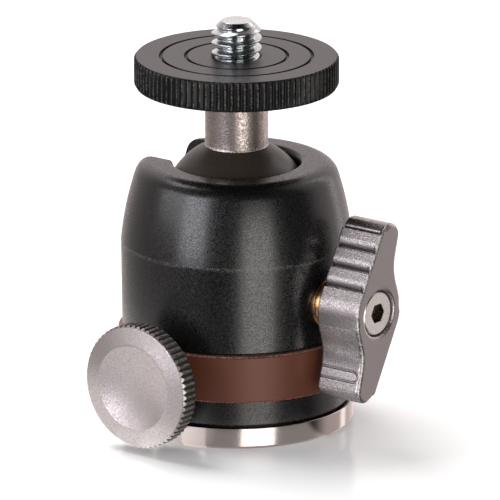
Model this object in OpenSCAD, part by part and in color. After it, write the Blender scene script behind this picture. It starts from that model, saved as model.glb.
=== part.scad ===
// A small tripod ball head, in millimetres.
// The pan axis is Z and the underside of the base is at zero height.
// +X points to the lock lever, -Y to the pan knob and -X to the drop notch.

/* [Base] */
// How far the base disc stands out past the housing
base_proud = 0.32; // [0:0.01:2]
// Thickness of the base disc
base_t = 2.75; // [2:0.05:4]
// Chamfer on the lower edge of the base disc
base_chamfer = 0.35; // [0.1:0.05:0.6]
// Bevel on the upper edge of the base disc
base_bevel = 0.12; // [0.05:0.01:0.3]
// Major radius of the tripod thread
tripod_thread_r = 4.7625; // [3.175:0.0025:4.7625]
// Depth of the tripod thread
tripod_thread_depth = 7.5; // [5:0.1:9]
// Chamfer at the mouth of the tripod thread
tripod_mouth_chamfer = 0.4; // [0.2:0.05:0.8]
// Depth of the brake groove in the spigot
brake_groove_depth = 0.8; // [0.4:0.05:1]

/* [Pan bearing] */
// Thickness of the lower pan washer
pan_washer_t = 0.25; // [0.2:0.05:0.5]
// Thickness of the upper pan washer
thrust_washer_t = 0.5; // [0.3:0.05:0.8]
// Thickness of the retaining ring
clip_t = 0.8; // [0.6:0.05:1.2]
// Depth of the retaining ring's groove
clip_groove_depth = 0.6; // [0.4:0.05:0.8]
// Radius of the two lugs of the retaining ring
clip_lug_r = 0.82; // [0.7:0.02:0.9]
// Radius of the plier holes in the lugs
clip_hole_r = 0.4; // [0.3:0.02:0.5]
// Room around the retaining ring
clip_room = 0.9; // [0.6:0.1:1.2]
// Radial width of the retaining ring
clip_width = 1.5; // [1.2:0.05:1.8]
// Width of the gap in the retaining ring
clip_gap = 4.2; // [3:0.1:6]
// Length of the bearing bore in the collar
bearing_h = 8; // [7:0.1:10]
// How far the collar's flange stays inside the housing's outline
collar_inset = 0.15; // [0.05:0.05:0.6]
// Height of the collar's flange
collar_h = 3.14; // [2:0.02:5]
// Chamfer on the collar's lower edge
collar_chamfer = 0.3; // [0.1:0.05:0.6]
// Wall of the collar's neck around the bearing bore
bearing_wall = 3.96; // [3.4:0.02:4.2]

/* [Band] */
// How far the band stands out past the housing
band_proud = 0.49; // [0.1:0.01:1]
// Height of the band
band_h = 6.04; // [5:0.02:9]
// Chamfer on both edges of the band
band_chamfer = 0.18; // [0.05:0.01:0.4]
// Thickness of the housing's skirt inside the band
skirt_wall = 1.55; // [1.2:0.05:2]

/* [Housing] */
// Step from the skirt out to the housing's wall
skirt_step = 1; // [0.8:0.05:1.4]
// How much wider the housing is at its edge than above the band
edge_flare = 0.15; // [0:0.05:0.6]
// Step from the chamber out to the bore for the collar's neck
chamber_step = 1.11; // [0.8:0.01:1.4]
// Height of the housing's edge below the ball's centre
edge_below_ball = 3.7; // [2:0.1:6]
// Height of the flat top above the ball's centre
top_over_ball = 6.5; // [6:0.1:7.2]
// How far the crown draws in from the edge to the flat top, before rounding
crown_fall = 2.3; // [1.6:0.05:2.5]
// Radius of the crown's outline arc
crown_arc_r = 42; // [30:1:90]
// Radius of the rounded shoulder
shoulder_r = 2.4; // [1:0.1:3]
// How far the lip of the opening reaches in over the ball's radius
opening_lip = 1.4; // [1.1:0.05:1.9]
// Chamfer at the rim of the opening
opening_chamfer = 0.35; // [0.1:0.05:0.6]
// Gap between the drop notch and the stem
notch_gap = 1; // [0.1:0.05:1.4]
// Height of the shadow gap between band and housing
shadow_gap = 0.14; // [0.05:0.01:0.4]
// Depth of the shadow gap
shadow_depth = 0.5; // [0.2:0.1:0.8]

/* [Ball and stem] */
// Radius of the ball
ball_r = 9.5; // [9.2:0.05:9.8]
// Height of the ball's lowest point above the lock axis
ball_over_lock = 0.2; // [0:0.1:1.5]
// Radius of the stem
stem_r = 4; // [3.6:0.05:4]
// Length of the stem from the ball's flat to the disc
stem_l = 7.78; // [6:0.02:14]
// Polished chamfer at the foot of the stem
stem_chamfer = 0.4; // [0.2:0.05:0.8]
// Radius of the stem's tenon inside the ball
tenon_r = 2.97; // [2.5:0.01:3.1]
// Length of the stem's tenon
tenon_l = 7.4; // [5:0.1:9]

/* [Platform] */
// Radius of the platform disc over its knurl
disc_r = 13; // [10:0.1:14]
// Thickness of the platform disc
disc_t = 3.9; // [2.5:0.1:6]
// Bevel on the edges of the platform disc
disc_bevel = 0.1; // [0.05:0.01:0.3]
// Pitch of the straight knurl round the disc
disc_knurl_pitch = 0.83; // [0.6:0.01:1.5]
// Depth of the knurl round the disc
disc_knurl_depth = 0.28; // [0.1:0.02:0.4]
// Distance of the knurl from the disc's faces
disc_knurl_back = 0.3; // [0.15:0.05:0.6]
// Radius of the outer groove in the disc's top
outer_groove_r = 9.6; // [8.5:0.1:9.8]
// Radius of the inner groove in the disc's top
inner_groove_r = 6.45; // [5:0.05:7.5]
// Width of the grooves in the disc's top
face_groove_w = 0.3; // [0.15:0.05:0.6]
// Depth of the grooves in the disc's top
face_groove_depth = 0.25; // [0.1:0.05:0.6]
// Major radius of the camera thread
camera_thread_r = 3.175; // [3:0.0025:3.175]
// Radius of the camera screw's neck, below its thread
camera_neck_r = 2.95; // [2.7:0.05:3.1]
// Length of camera thread above the disc
camera_thread_l = 4.65; // [3.5:0.05:7]
// Chamfer at the end of the camera screw
camera_chamfer = 1.25; // [0.4:0.05:1.4]
// Depth of the hollow in the screw's end
camera_dish_depth = 0.18; // [0.05:0.01:0.4]
// Length of the camera screw inside the stem
camera_tail_l = 5; // [3:0.1:6]

/* [Ball lock] */
// Pitch of the lock screw
lock_pitch = 0.5; // [0.4:0.05:0.8]
// Turn of the lever from locked to loose, in degrees
lever_turn = 270; // [180:10:270]
// Half angle of the thrust pin's cone, in degrees
thrust_half_angle = 35; // [30:1:38]
// Radius of the flat on the thrust pin's tip
thrust_tip_r = 0.8; // [0.6:0.05:1]
// Radius of the thrust pin
thrust_pin_r = 2.4; // [2.1:0.05:2.5]
// Length of the thrust pin
thrust_pin_l = 3.4; // [3:0.1:3.8]
// Radius of the lock screw
lock_screw_r = 3; // [2.8:0.05:3]
// Outer radius of the lock bush
lock_bush_r = 3.8; // [3.6:0.05:4.2]
// How far the lock bush stands out past the band
lock_bush_proud = 0.95; // [0.5:0.05:1.5]
// How far the lock bush stays back from the chamber
lock_bush_setback = 0.1; // [0.05:0.05:0.4]
// How far the pressure cup is wider than the ball
cup_over_ball = 1.35; // [1.2:0.01:1.5]
// Height of the lock axis above the cup's underside
cup_axis_h = 2.3; // [2.1:0.05:2.8]
// Depth of the cup's groove
cup_groove_depth = 1.6; // [1.4:0.05:1.7]
// Wall of the cup around the lower seat
cup_wall = 1.45; // [1.2:0.05:1.8]
// Radial width of the lower seat
lower_seat_w = 3.5; // [3:0.1:4.2]
// Thickness of the cup under the lower seat
cup_floor_t = 4.24; // [4.1:0.02:5]
// Thickness of the upper seat at the ball's widest place
upper_seat_wall = 0.9; // [0.6:0.05:1.3]
// Height of the upper seat
upper_seat_h = 4.1; // [3.5:0.1:4.3]
// Thickness of a disc spring's sheet
spring_t = 0.3; // [0.2:0.02:0.5]
// Free cone height of a disc spring
spring_cone = 0.2; // [0.1:0.02:0.4]
// Radial width of the disc springs
spring_w = 4.6; // [3:0.1:5.5]
// How far the disc springs stay inside the cup's outline
spring_inset = 1.05; // [0.5:0.05:2]
// Thickness of the spring plate
plate_t = 0.8; // [0.5:0.05:1.5]
// Radius of the hole in the spring plate
plate_bore_r = 3; // [1.5:0.1:4]

/* [Lever] */
// Thickness of the lever
lever_t = 6.4; // [5.5:0.1:8]
// Radius of the lever's hub
lever_hub_r = 4.5; // [4.3:0.05:4.7]
// Distance of the rounded tip from the lever's axis, along the wing
lever_tip_l = 9.5; // [8.5:0.05:11]
// Sideways offset of the rounded tip
lever_tip_offset = 2.65; // [2.4:0.05:2.8]
// Radius of the rounded tip
lever_tip_r = 1.7; // [1.5:0.05:1.9]
// Distance of the heel of the tip from the lever's axis, along the wing
lever_heel_l = 9.74; // [8.7:0.02:11.2]
// Sideways offset of the heel
lever_heel_offset = 1.5; // [1.2:0.05:1.6]
// Radius of the heel
lever_heel_r = 1; // [0.8:0.05:1.2]
// Radius of the hollow side of a wing
lever_hollow_r = 12.7; // [9:0.1:20]
// Depth at which the hollow side passes the lever's axis, sideways
lever_waist = 3.76; // [3.5:0.02:3.9]
// Height of the middle of the hollow side, along the wing
lever_hollow_l = 5.6; // [5:0.1:6.5]
// Chamfer around the lever's outer face
lever_chamfer = 0.35; // [0.1:0.05:0.5]
// Number of ribs' grooves on the straight side of each wing
rib_count = 4; // [0:1:5]
// Pitch of the ribs' grooves
rib_pitch = 2.6; // [2:0.05:3]
// Distance of the first rib groove past the end of the straight side
rib_lead = 0.4; // [0:0.05:0.6]
// Width of one rib's groove
rib_w = 1; // [0.5:0.05:1.4]
// Depth of one rib's groove
rib_depth = 0.5; // [0.2:0.05:0.6]
// Radius of the lever screw's head
head_r = 2.8; // [2.5:0.05:2.9]
// Thickness of the lever screw's head
head_t = 2.35; // [2:0.05:2.5]
// Depth of the head's recess in the lever
recess_depth = 2.6; // [2.4:0.05:2.8]
// Gap around the lever screw's head
recess_gap = 0.28; // [0.1:0.02:0.4]
// Radius of the lever screw's shank
shank_r = 1.5; // [1.2:0.05:1.7]
// Width across the flats of the socket in the head
socket_af = 2.5; // [2:0.1:3]
// Depth of the socket
socket_depth = 1.4; // [1:0.1:1.8]
// Width across the flats of the lock screw's square end
tang_af = 4.2; // [3.8:0.1:4.2]
// Length of the lock screw's square end
tang_l = 2.9; // [2:0.1:3]
// Thickness of the washer under the lever
lever_washer_t = 0.3; // [0.2:0.05:0.5]

/* [Pan lock] */
// Pitch of the pan screw
pan_pitch = 0.7; // [0.5:0.05:0.8]
// Turn of the pan knob from locked to loose, in degrees
pan_turn = 360; // [180:10:360]
// Radius of the flat on the brake pad's tip
pad_tip_r = 0.4; // [0.3:0.05:0.6]
// Radius of the brake pad
pad_r = 1.6; // [1.4:0.05:1.9]
// Length of the brake pad
pad_l = 3.8; // [3.4:0.1:4]
// Height of the pan lock's axis above the band's lower edge
pan_axis_h = 2.66; // [2.6:0.01:3.2]
// Radius of the pan screw
pan_screw_r = 2; // [1.8:0.05:2.1]
// Wall of the pan bush
pan_bush_wall = 0.6; // [0.4:0.02:0.65]
// How far the brake pad reaches into the pan bush
pad_overlap = 0.95; // [0.5:0.05:1.5]
// How far the pan bush stands out past the band
pan_bush_proud = 0.6; // [0.3:0.05:1]
// Radius of the pan knob over its knurl
knob_r = 8; // [6:0.1:8.4]
// Thickness of the pan knob's knurled rim
knob_rim_t = 2.7; // [2:0.1:5]
// Radius of the pan knob's hub
knob_hub_r = 4.6; // [4:0.1:5.2]
// Length of the pan knob's hub
knob_hub_l = 2.3; // [1.6:0.1:4]
// Radius of the dish in the knob's face
knob_dish_r = 5.5; // [4:0.1:5.8]
// Depth of the dish
knob_dish_depth = 0.95; // [0.4:0.05:1.4]
// Height of the coned face over the rim's edge
knob_cone_h = 0.6; // [0.2:0.05:1]
// Pitch of the straight knurl round the knob
knob_knurl_pitch = 0.81; // [0.6:0.01:1.5]
// Depth of the knurl round the knob
knob_knurl_depth = 0.3; // [0.1:0.02:0.4]
// Length of the pan screw inside the knob
knob_grip_l = 3.4; // [3:0.1:3.6]

/* [Fits] */
// Running clearance on a radius
running = 0.04; // [0.02:0.01:0.08]
// Gap between the ball and its seats
seat_gap = 0.03; // [0.02:0.01:0.06]
// Play between parts that pass without touching
play = 0.3; // [0.2:0.05:0.4]

/* [Hidden] */
$fn = 96;
// Every cut runs this far past the face that it opens
overrun = 1;
// Facets of the round pieces inside a hull
hull_facets = 48;

// Radii, from the ball out
cup_r = ball_r + cup_over_ball;
chamber_r = cup_r + running;
collar_neck_r = chamber_r + chamber_step;
band_bore_r = collar_neck_r + skirt_wall;
housing_low_r = band_bore_r + skirt_step;
housing_edge_r = housing_low_r + edge_flare;
crown_top_r = housing_edge_r - crown_fall;
band_r = housing_low_r + band_proud;
collar_r = housing_low_r - collar_inset;
base_r = housing_low_r + base_proud;
opening_r = ball_r - opening_lip;
notch_half = stem_r + notch_gap;
upper_seat_r = ball_r + upper_seat_wall;
lower_seat_r = cup_r - cup_wall;
cup_bore_r = lower_seat_r - lower_seat_w;
spring_r = cup_r - spring_inset;
spring_bore_r = spring_r - spring_w;

// Radii of the pan bearing and of the pan lock
bearing_bore_r = collar_neck_r - bearing_wall;
spigot_r = bearing_bore_r - running;
clip_r = spigot_r - clip_groove_depth;
clip_outer_r = clip_r + clip_width;
clip_room_r = clip_outer_r + clip_room;
pan_washer_r = collar_r - collar_chamfer - play;
thrust_washer_r = clip_outer_r + play;
pan_bush_r = pan_screw_r + pan_bush_wall;

// Radii of the disc and the knob under their knurls
disc_core_r = disc_r - disc_knurl_depth - running;
knob_core_r = knob_r - knob_knurl_depth - running;

// Travel of the lock, and how far the cup and the ball sink with it
lock_travel = lock_pitch * lever_turn / 360;
cup_drop = lock_travel * tan(thrust_half_angle);

// Heights, from the base up
collar_z = base_t + pan_washer_t;
band_z = collar_z + collar_h;
housing_z = band_z + band_h;
bearing_top_z = collar_z + bearing_h;
clip_z = bearing_top_z + thrust_washer_t;
spigot_top_z = clip_z + clip_t + play * 2;
plate_z = spigot_top_z + play;
spring_z = plate_z + plate_t;
spring_count = 2;
spring_h = spring_t + spring_cone;
cup_z = spring_z + spring_count * spring_h + play;
lock_z = cup_z + cup_axis_h;
ball_z = lock_z + ball_over_lock + ball_r;
edge_z = ball_z - edge_below_ball;
top_z = ball_z + top_over_ball;
stem_seat_z = ball_z + sqrt(ball_r * ball_r - stem_r * stem_r);
disc_z = stem_seat_z + stem_l;
disc_top_z = disc_z + disc_t;
camera_top_z = disc_top_z + camera_thread_l;
notch_floor_z = ball_z - cup_drop - notch_half;
cup_rim_z = notch_floor_z - play;
seat_shelf_z = cup_z + cup_floor_t;
pan_z = band_z + pan_axis_h;

// Outline of the crown: an arc from the edge to the top, and its rounded shoulder
function arc_centre(p, q, r) =
    let (half = norm(q - p) / 2, way = (q - p) / (2 * half))
    (p + q) / 2 + sqrt(r * r - half * half) * [-way[1], way[0]];
crown_centre = arc_centre([housing_edge_r, edge_z], [crown_top_r, top_z], crown_arc_r);
shoulder_z = top_z - shoulder_r;
shoulder_x = crown_centre[0]
    + sqrt(pow(crown_arc_r - shoulder_r, 2) - pow(shoulder_z - crown_centre[1], 2));
shoulder_way = ([shoulder_x, shoulder_z] - crown_centre) / (crown_arc_r - shoulder_r);
shoulder_tangent = [shoulder_x, shoulder_z] + shoulder_r * shoulder_way;

// Places along the lock axis, measured from the pan axis
cup_groove_apex = cup_r - cup_groove_depth - thrust_tip_r / tan(thrust_half_angle);
thrust_tip_x = cup_r - cup_groove_depth;
thrust_nose_l = (thrust_pin_r - thrust_tip_r) / tan(thrust_half_angle);
lock_screw_x = thrust_tip_x + thrust_pin_l;
lock_bush_x = chamber_r + lock_bush_setback;
lock_bush_end_x = band_r + lock_bush_proud;
lever_in_x = lock_bush_end_x + lever_washer_t;
lever_out_x = lever_in_x + lever_t;
tang_end_x = lever_in_x + tang_l;
head_seat_x = lever_out_x - recess_depth;
thread_start_x = lock_screw_x - lock_travel;

// Places along the pan lock's axis, measured from the pan axis
pad_tip_d = spigot_r - brake_groove_depth + pad_tip_r;
pad_end_d = pad_tip_d + pad_l;
pan_bush_d = pad_end_d - pad_overlap;
pan_bush_end_d = band_r + pan_bush_proud;
knob_hub_d = pan_bush_end_d + play;
knob_rim_d = knob_hub_d + knob_hub_l;
knob_edge_d = knob_rim_d + knob_rim_t;
knob_top_d = knob_edge_d + knob_cone_h;
knob_dish_sphere_r = (pow(knob_dish_r, 2) + pow(knob_dish_depth, 2)) / (2 * knob_dish_depth);

// Turns a shape that stands on +Z so that it points along the lock axis, +X
module along_lock() {
    translate([0, 0, lock_z]) rotate([0, 90, 0]) children();
}

// Turns a shape that stands on +Z so that it points along the pan lock's axis, -Y
module along_pan_lock() {
    translate([0, 0, pan_z]) rotate([90, 0, 0]) children();
}

// A round bar from height a to height b
module bar(r, a, b) {
    translate([0, 0, a]) cylinder(r = r, h = b - a);
}

// A round ring from height a to height b
module ring(outer_r, inner_r, a, b) {
    difference() {
        bar(outer_r, a, b);
        bar(inner_r, a - overrun, b + overrun);
    }
}

// A bar with chamfers: foot at its lower end, head at its upper end
module edged_bar(r, a, b, foot, head) {
    rotate_extrude() polygon([
        [0, a], [r - foot, a], [r, a + foot],
        [r, b - head], [r - head, b], [0, b]
    ]);
}

// A straight knurl: sharp ribs from height a to height b, as many as fit at the pitch
module knurl(r, pitch, depth, a, b) {
    count = round(2 * PI * r / pitch);
    translate([0, 0, a]) linear_extrude(b - a) polygon([
        for (i = [0:2 * count - 1])
            (r - (i % 2) * depth) * [cos(i * 180 / count), sin(i * 180 / count)]
    ]);
}

// A V-section ring to cut around a shaft: its flanks lean by angle from the middle plane
module v_cutter(apex_r, out_r, angle) {
    half = (out_r - apex_r) * tan(angle);
    rotate_extrude() polygon([[apex_r, 0], [out_r, -half], [out_r, half]]);
}

module base_plate() {
    color("silver") difference() {
        union() {
            edged_bar(base_r, 0, base_t, base_chamfer, base_bevel);
            edged_bar(spigot_r, base_t / 2, spigot_top_z, 0, play);
        }
        bar(tripod_thread_r, -overrun, tripod_thread_depth);
        translate([0, 0, -overrun]) cylinder(
            r1 = tripod_thread_r + tripod_mouth_chamfer + overrun,
            r2 = tripod_thread_r,
            h = tripod_mouth_chamfer + overrun
        );
        translate([0, 0, pan_z])
            v_cutter(spigot_r - brake_groove_depth, spigot_r + overrun, 45);
        ring(spigot_r + overrun, clip_r, clip_z, clip_z + clip_t);
    }
}

module pan_washer_lower() {
    color("dimgray") ring(pan_washer_r, spigot_r, base_t, collar_z);
}

module lower_collar() {
    color([0.08, 0.08, 0.08]) difference() {
        union() {
            edged_bar(collar_r, collar_z, band_z, collar_chamfer, 0);
            bar(collar_neck_r, band_z - overrun, plate_z);
        }
        bar(bearing_bore_r, collar_z - overrun, bearing_top_z + overrun);
        bar(clip_room_r, bearing_top_z, plate_z + overrun);
        along_pan_lock() {
            bar(pad_r + running, spigot_r - overrun, pan_bush_d + overrun);
            bar(pan_bush_r, pan_bush_d, collar_neck_r + overrun);
        }
    }
}

module accent_band() {
    color([0.38, 0.24, 0.20]) difference() {
        edged_bar(band_r, band_z, housing_z, band_chamfer, band_chamfer);
        bar(band_bore_r, band_z - overrun, housing_z + overrun);
        along_pan_lock() bar(pan_bush_r, band_bore_r - overrun, band_r + overrun);
    }
}

module housing_outline() {
    polygon([
        [0, band_z], [band_bore_r, band_z], [band_bore_r, housing_z],
        [housing_low_r - shadow_depth, housing_z],
        [housing_low_r - shadow_depth, housing_z + shadow_gap],
        [housing_low_r, housing_z + shadow_gap + shadow_depth / 3],
        [housing_edge_r, edge_z], [0, edge_z]
    ]);
    intersection() {
        translate(crown_centre) circle(r = crown_arc_r);
        translate([0, edge_z]) square([housing_edge_r, shoulder_tangent[1] - edge_z]);
    }
    translate([shoulder_x, shoulder_z]) circle(r = shoulder_r);
    translate([0, shoulder_z]) square([shoulder_x, shoulder_r]);
}

// The slot that lets the stem down to the side, open through the top and the wall
module notch_cut() {
    translate([0, 0, ball_z - cup_drop]) {
        rotate([0, -90, 0]) cylinder(r = notch_half, h = band_r + overrun);
        translate([-band_r - overrun, -notch_half, 0])
            cube([band_r + overrun, 2 * notch_half, top_over_ball + cup_drop + overrun]);
    }
}

module housing() {
    color([0.10, 0.10, 0.10]) difference() {
        rotate_extrude() housing_outline();
        bar(collar_neck_r, band_z - overrun, plate_z);
        bar(chamber_r, plate_z - overrun, ball_z);
        bar(upper_seat_r, ball_z - overrun, ball_z + upper_seat_h);
        translate([0, 0, ball_z]) sphere(r = ball_r + play / 2);
        bar(opening_r, ball_z, top_z + overrun);
        translate([0, 0, top_z - opening_chamfer]) cylinder(
            r1 = opening_r,
            r2 = opening_r + opening_chamfer + overrun,
            h = opening_chamfer + overrun
        );
        notch_cut();
        along_lock() {
            bar(thrust_pin_r + running, chamber_r - overrun, lock_bush_x + overrun);
            bar(lock_bush_r, lock_bush_x, band_r + overrun);
        }
        along_pan_lock() bar(pan_bush_r, collar_neck_r - overrun, band_r + overrun);
    }
}

module pan_washer_upper() {
    color("dimgray") ring(thrust_washer_r, spigot_r, bearing_top_z, clip_z);
}

// A circlip with a gap and a plier hole on each side of it
module retaining_ring() {
    lug_at = (clip_r + clip_outer_r) / 2 + play;
    lug_turn = asin((clip_gap / 2 + clip_lug_r + play) / lug_at);
    color("slategray") difference() {
        union() {
            ring(clip_outer_r, clip_r, clip_z, clip_z + clip_t);
            for (side = [-1, 1]) rotate([0, 0, side * lug_turn])
                translate([0, lug_at, 0]) bar(clip_lug_r, clip_z, clip_z + clip_t);
        }
        translate([-clip_gap / 2, 0, clip_z - overrun])
            cube([clip_gap, clip_outer_r + overrun, clip_t + 2 * overrun]);
        for (side = [-1, 1]) rotate([0, 0, side * lug_turn])
            translate([0, lug_at, 0])
                bar(clip_hole_r, clip_z - overrun, clip_z + clip_t + overrun);
        bar(clip_r, clip_z - overrun, clip_z + clip_t + overrun);
    }
}

module spring_plate() {
    color("gainsboro") ring(cup_r, plate_bore_r, plate_z, spring_z);
}

// Two coned washers, tip to tip, with a little room for the cup to sink
module disc_springs() {
    color("silver") translate([0, 0, spring_z]) {
        rotate_extrude() polygon([
            [spring_bore_r, spring_cone], [spring_r, 0],
            [spring_r, spring_t], [spring_bore_r, spring_h]
        ]);
        translate([0, 0, spring_h]) rotate_extrude() polygon([
            [spring_bore_r, 0], [spring_r, spring_cone],
            [spring_r, spring_h], [spring_bore_r, spring_t]
        ]);
    }
}

module pressure_cup() {
    color("tan") difference() {
        bar(cup_r, cup_z, cup_rim_z);
        bar(cup_bore_r, cup_z - overrun, cup_rim_z);
        bar(lower_seat_r + running, seat_shelf_z, cup_rim_z + overrun);
        translate([0, 0, lock_z]) intersection() {
            v_cutter(cup_groove_apex, cup_r + overrun, thrust_half_angle);
            ring(cup_r + 2 * overrun, thrust_tip_x - play, -cup_axis_h, cup_axis_h);
        }
        // room for the ball's lowest part
        translate([0, 0, ball_z]) sphere(r = ball_r + play);
    }
}

module lower_seat() {
    color("ivory") difference() {
        bar(lower_seat_r, seat_shelf_z, cup_rim_z);
        bar(cup_bore_r, seat_shelf_z - overrun, cup_rim_z + overrun);
        translate([0, 0, ball_z]) sphere(r = ball_r + seat_gap);
    }
}

module upper_seat() {
    color([0.12, 0.12, 0.12]) difference() {
        bar(upper_seat_r, ball_z + play, ball_z + upper_seat_h);
        translate([0, 0, ball_z]) sphere(r = ball_r + seat_gap);
        notch_cut();
    }
}

module ball() {
    color([0.05, 0.05, 0.05]) difference() {
        translate([0, 0, ball_z]) sphere(r = ball_r);
        bar(stem_r + overrun, stem_seat_z, stem_seat_z + ball_r);
        bar(tenon_r + running, stem_seat_z - tenon_l - play, stem_seat_z + overrun);
    }
}

module stem() {
    color("gainsboro") difference() {
        union() {
            edged_bar(stem_r, stem_seat_z, disc_z, stem_chamfer, 0);
            edged_bar(tenon_r, stem_seat_z - tenon_l, stem_seat_z + overrun, play, 0);
        }
        bar(camera_neck_r, disc_z - camera_tail_l, disc_z + overrun);
    }
}

module camera_screw() {
    end_r = camera_thread_r - camera_chamfer;
    dish_r = (end_r * end_r + camera_dish_depth * camera_dish_depth) / (2 * camera_dish_depth);
    color("silver") difference() {
        union() {
            bar(camera_neck_r, disc_z - camera_tail_l, disc_top_z);
            edged_bar(camera_thread_r, disc_top_z, camera_top_z, 0, camera_chamfer);
        }
        translate([0, 0, camera_top_z - camera_dish_depth + dish_r]) sphere(r = dish_r);
    }
}

module lock_disc() {
    color([0.07, 0.07, 0.07]) difference() {
        union() {
            edged_bar(disc_core_r, disc_z, disc_top_z, disc_bevel, disc_bevel);
            knurl(disc_r, disc_knurl_pitch, disc_knurl_depth,
                disc_z + disc_knurl_back, disc_top_z - disc_knurl_back);
        }
        bar(camera_neck_r + running, disc_z - overrun, disc_top_z + overrun);
        for (r = [outer_groove_r, inner_groove_r])
            ring(r + face_groove_w / 2, r - face_groove_w / 2,
                disc_top_z - face_groove_depth, disc_top_z + overrun);
    }
}

module lock_bush() {
    color("goldenrod") along_lock() difference() {
        bar(lock_bush_r, lock_bush_x, lock_bush_end_x);
        bar(thrust_pin_r + running, lock_bush_x - overrun, lock_bush_end_x + overrun);
        bar(lock_screw_r + running, thread_start_x, lock_bush_end_x + overrun);
    }
}

module thrust_pin() {
    color("lightsteelblue") along_lock() {
        translate([0, 0, thrust_tip_x])
            cylinder(r1 = thrust_tip_r, r2 = thrust_pin_r, h = thrust_nose_l);
        bar(thrust_pin_r, thrust_tip_x + thrust_nose_l, lock_screw_x);
    }
}

module lock_screw() {
    color("gray") along_lock() difference() {
        union() {
            bar(lock_screw_r, lock_screw_x, lever_in_x);
            translate([-tang_af / 2, -tang_af / 2, lever_in_x]) cube([tang_af, tang_af, tang_l]);
        }
        bar(shank_r, lock_screw_x + play, tang_end_x + overrun);
    }
}

module lever_washer() {
    color("dimgray") along_lock() ring(lock_bush_r, lock_screw_r, lock_bush_end_x, lever_in_x);
}

// One round of the lever's outline, chamfered at the outer face, which is at height zero
module lever_round(x, y, r) {
    translate([x, y, 0]) {
        cylinder(r1 = r - lever_chamfer, r2 = r, h = lever_chamfer, $fn = hull_facets);
        translate([0, 0, lever_chamfer])
            cylinder(r = r, h = lever_t - lever_chamfer, $fn = hull_facets);
    }
}

// The straight side of the wing as a line: where it touches the hub and which way it runs
straight_rise = lever_heel_r - lever_hub_r;
heel_at = [lever_heel_offset, -lever_heel_l];
heel_turn = atan2(heel_at[1], heel_at[0]) - acos(-straight_rise / norm(heel_at));
straight_normal = [cos(heel_turn), sin(heel_turn)];
straight_way = [-straight_normal[1], straight_normal[0]];
straight_l = sqrt(pow(norm(heel_at), 2) - pow(straight_rise, 2));

// Grooves across the straight side, from the inner face to just under the chamfer
module rib_cuts() {
    for (i = [0:rib_count - 1]) {
        along = straight_l + rib_lead - i * rib_pitch;
        foot = lever_hub_r * straight_normal + along * straight_way;
        translate([foot[0], foot[1], lever_chamfer * 2])
            rotate([0, 0, heel_turn])
            linear_extrude(lever_t)
            polygon([
                [overrun, rib_w / 2], [0, rib_w / 2], [-rib_depth / 2, rib_w / 4],
                [-rib_depth, -rib_w / 4], [-rib_depth, -rib_w / 2 + rib_depth / 4],
                [0, -rib_w / 2], [overrun, -rib_w / 2]
            ]);
    }
}

// One wing, with its tip toward -Y of its own plane
module lever_wing() {
    hollow_x = lever_waist + lever_hollow_r;
    difference() {
        hull() {
            lever_round(0, 0, lever_hub_r);
            lever_round(lever_tip_offset, -lever_tip_l, lever_tip_r);
            lever_round(lever_heel_offset, -lever_heel_l, lever_heel_r);
        }
        translate([hollow_x, -lever_hollow_l, 0]) {
            bar(lever_hollow_r, -overrun, lever_t + overrun);
            translate([0, 0, -overrun]) cylinder(
                r1 = lever_hollow_r + lever_chamfer + overrun,
                r2 = lever_hollow_r,
                h = lever_chamfer + overrun
            );
        }
        rib_cuts();
    }
}

module lock_lever() {
    color([0.62, 0.59, 0.58]) translate([lever_out_x, 0, lock_z]) rotate([90, 0, -90]) difference() {
        for (turn = [0, 180]) rotate([0, 0, turn]) lever_wing();
        bar(head_r + recess_gap, -overrun, recess_depth);
        bar(shank_r, 0, lever_t);
        translate([-tang_af / 2, -tang_af / 2, lever_t - tang_l])
            cube([tang_af, tang_af, tang_l + overrun]);
    }
}

module lever_screw() {
    socket_r = socket_af / 2 / cos(30);
    color("silver") along_lock() difference() {
        union() {
            edged_bar(head_r, head_seat_x, head_seat_x + head_t, 0, play / 2);
            bar(shank_r, lock_screw_x + play, head_seat_x + overrun);
        }
        translate([0, 0, head_seat_x + head_t - socket_depth])
            cylinder(r = socket_r, h = socket_depth + overrun, $fn = 6);
    }
}

module pan_bush() {
    color("gray") along_pan_lock()
        ring(pan_bush_r, pan_screw_r + running, pan_bush_d, pan_bush_end_d);
}

module brake_pad() {
    color("saddlebrown") along_pan_lock() {
        translate([0, 0, pad_tip_d]) cylinder(r1 = pad_tip_r, r2 = pad_r, h = pad_r - pad_tip_r);
        bar(pad_r, pad_tip_d + pad_r - pad_tip_r, pad_end_d);
    }
}

module pan_screw() {
    color("gray") along_pan_lock()
        bar(pan_screw_r, pad_end_d, knob_rim_d + knob_grip_l - knob_hub_l);
}

module pan_knob() {
    color([0.10, 0.10, 0.10]) along_pan_lock() difference() {
        union() {
            rotate_extrude() polygon([
                [0, knob_hub_d], [knob_hub_r, knob_hub_d], [knob_hub_r, knob_rim_d],
                [knob_core_r, knob_rim_d], [knob_core_r, knob_edge_d],
                [knob_dish_r, knob_top_d], [0, knob_top_d]
            ]);
            knurl(knob_r, knob_knurl_pitch, knob_knurl_depth, knob_rim_d + play, knob_edge_d);
        }
        translate([0, 0, knob_top_d - knob_dish_depth + knob_dish_sphere_r])
            sphere(r = knob_dish_sphere_r);
        bar(pan_screw_r, knob_hub_d - overrun, knob_rim_d + knob_grip_l - knob_hub_l);
    }
}

base_plate();
pan_washer_lower();
lower_collar();
accent_band();
housing();
pan_washer_upper();
retaining_ring();
spring_plate();
disc_springs();
pressure_cup();
lower_seat();
upper_seat();
ball();
stem();
camera_screw();
lock_disc();
lock_bush();
thrust_pin();
lock_screw();
lever_washer();
lock_lever();
lever_screw();
pan_bush();
brake_pad();
pan_screw();
pan_knob();
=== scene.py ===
"""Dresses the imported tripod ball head: turned, knurled and threaded forms, finishes, studio."""

import math

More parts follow.
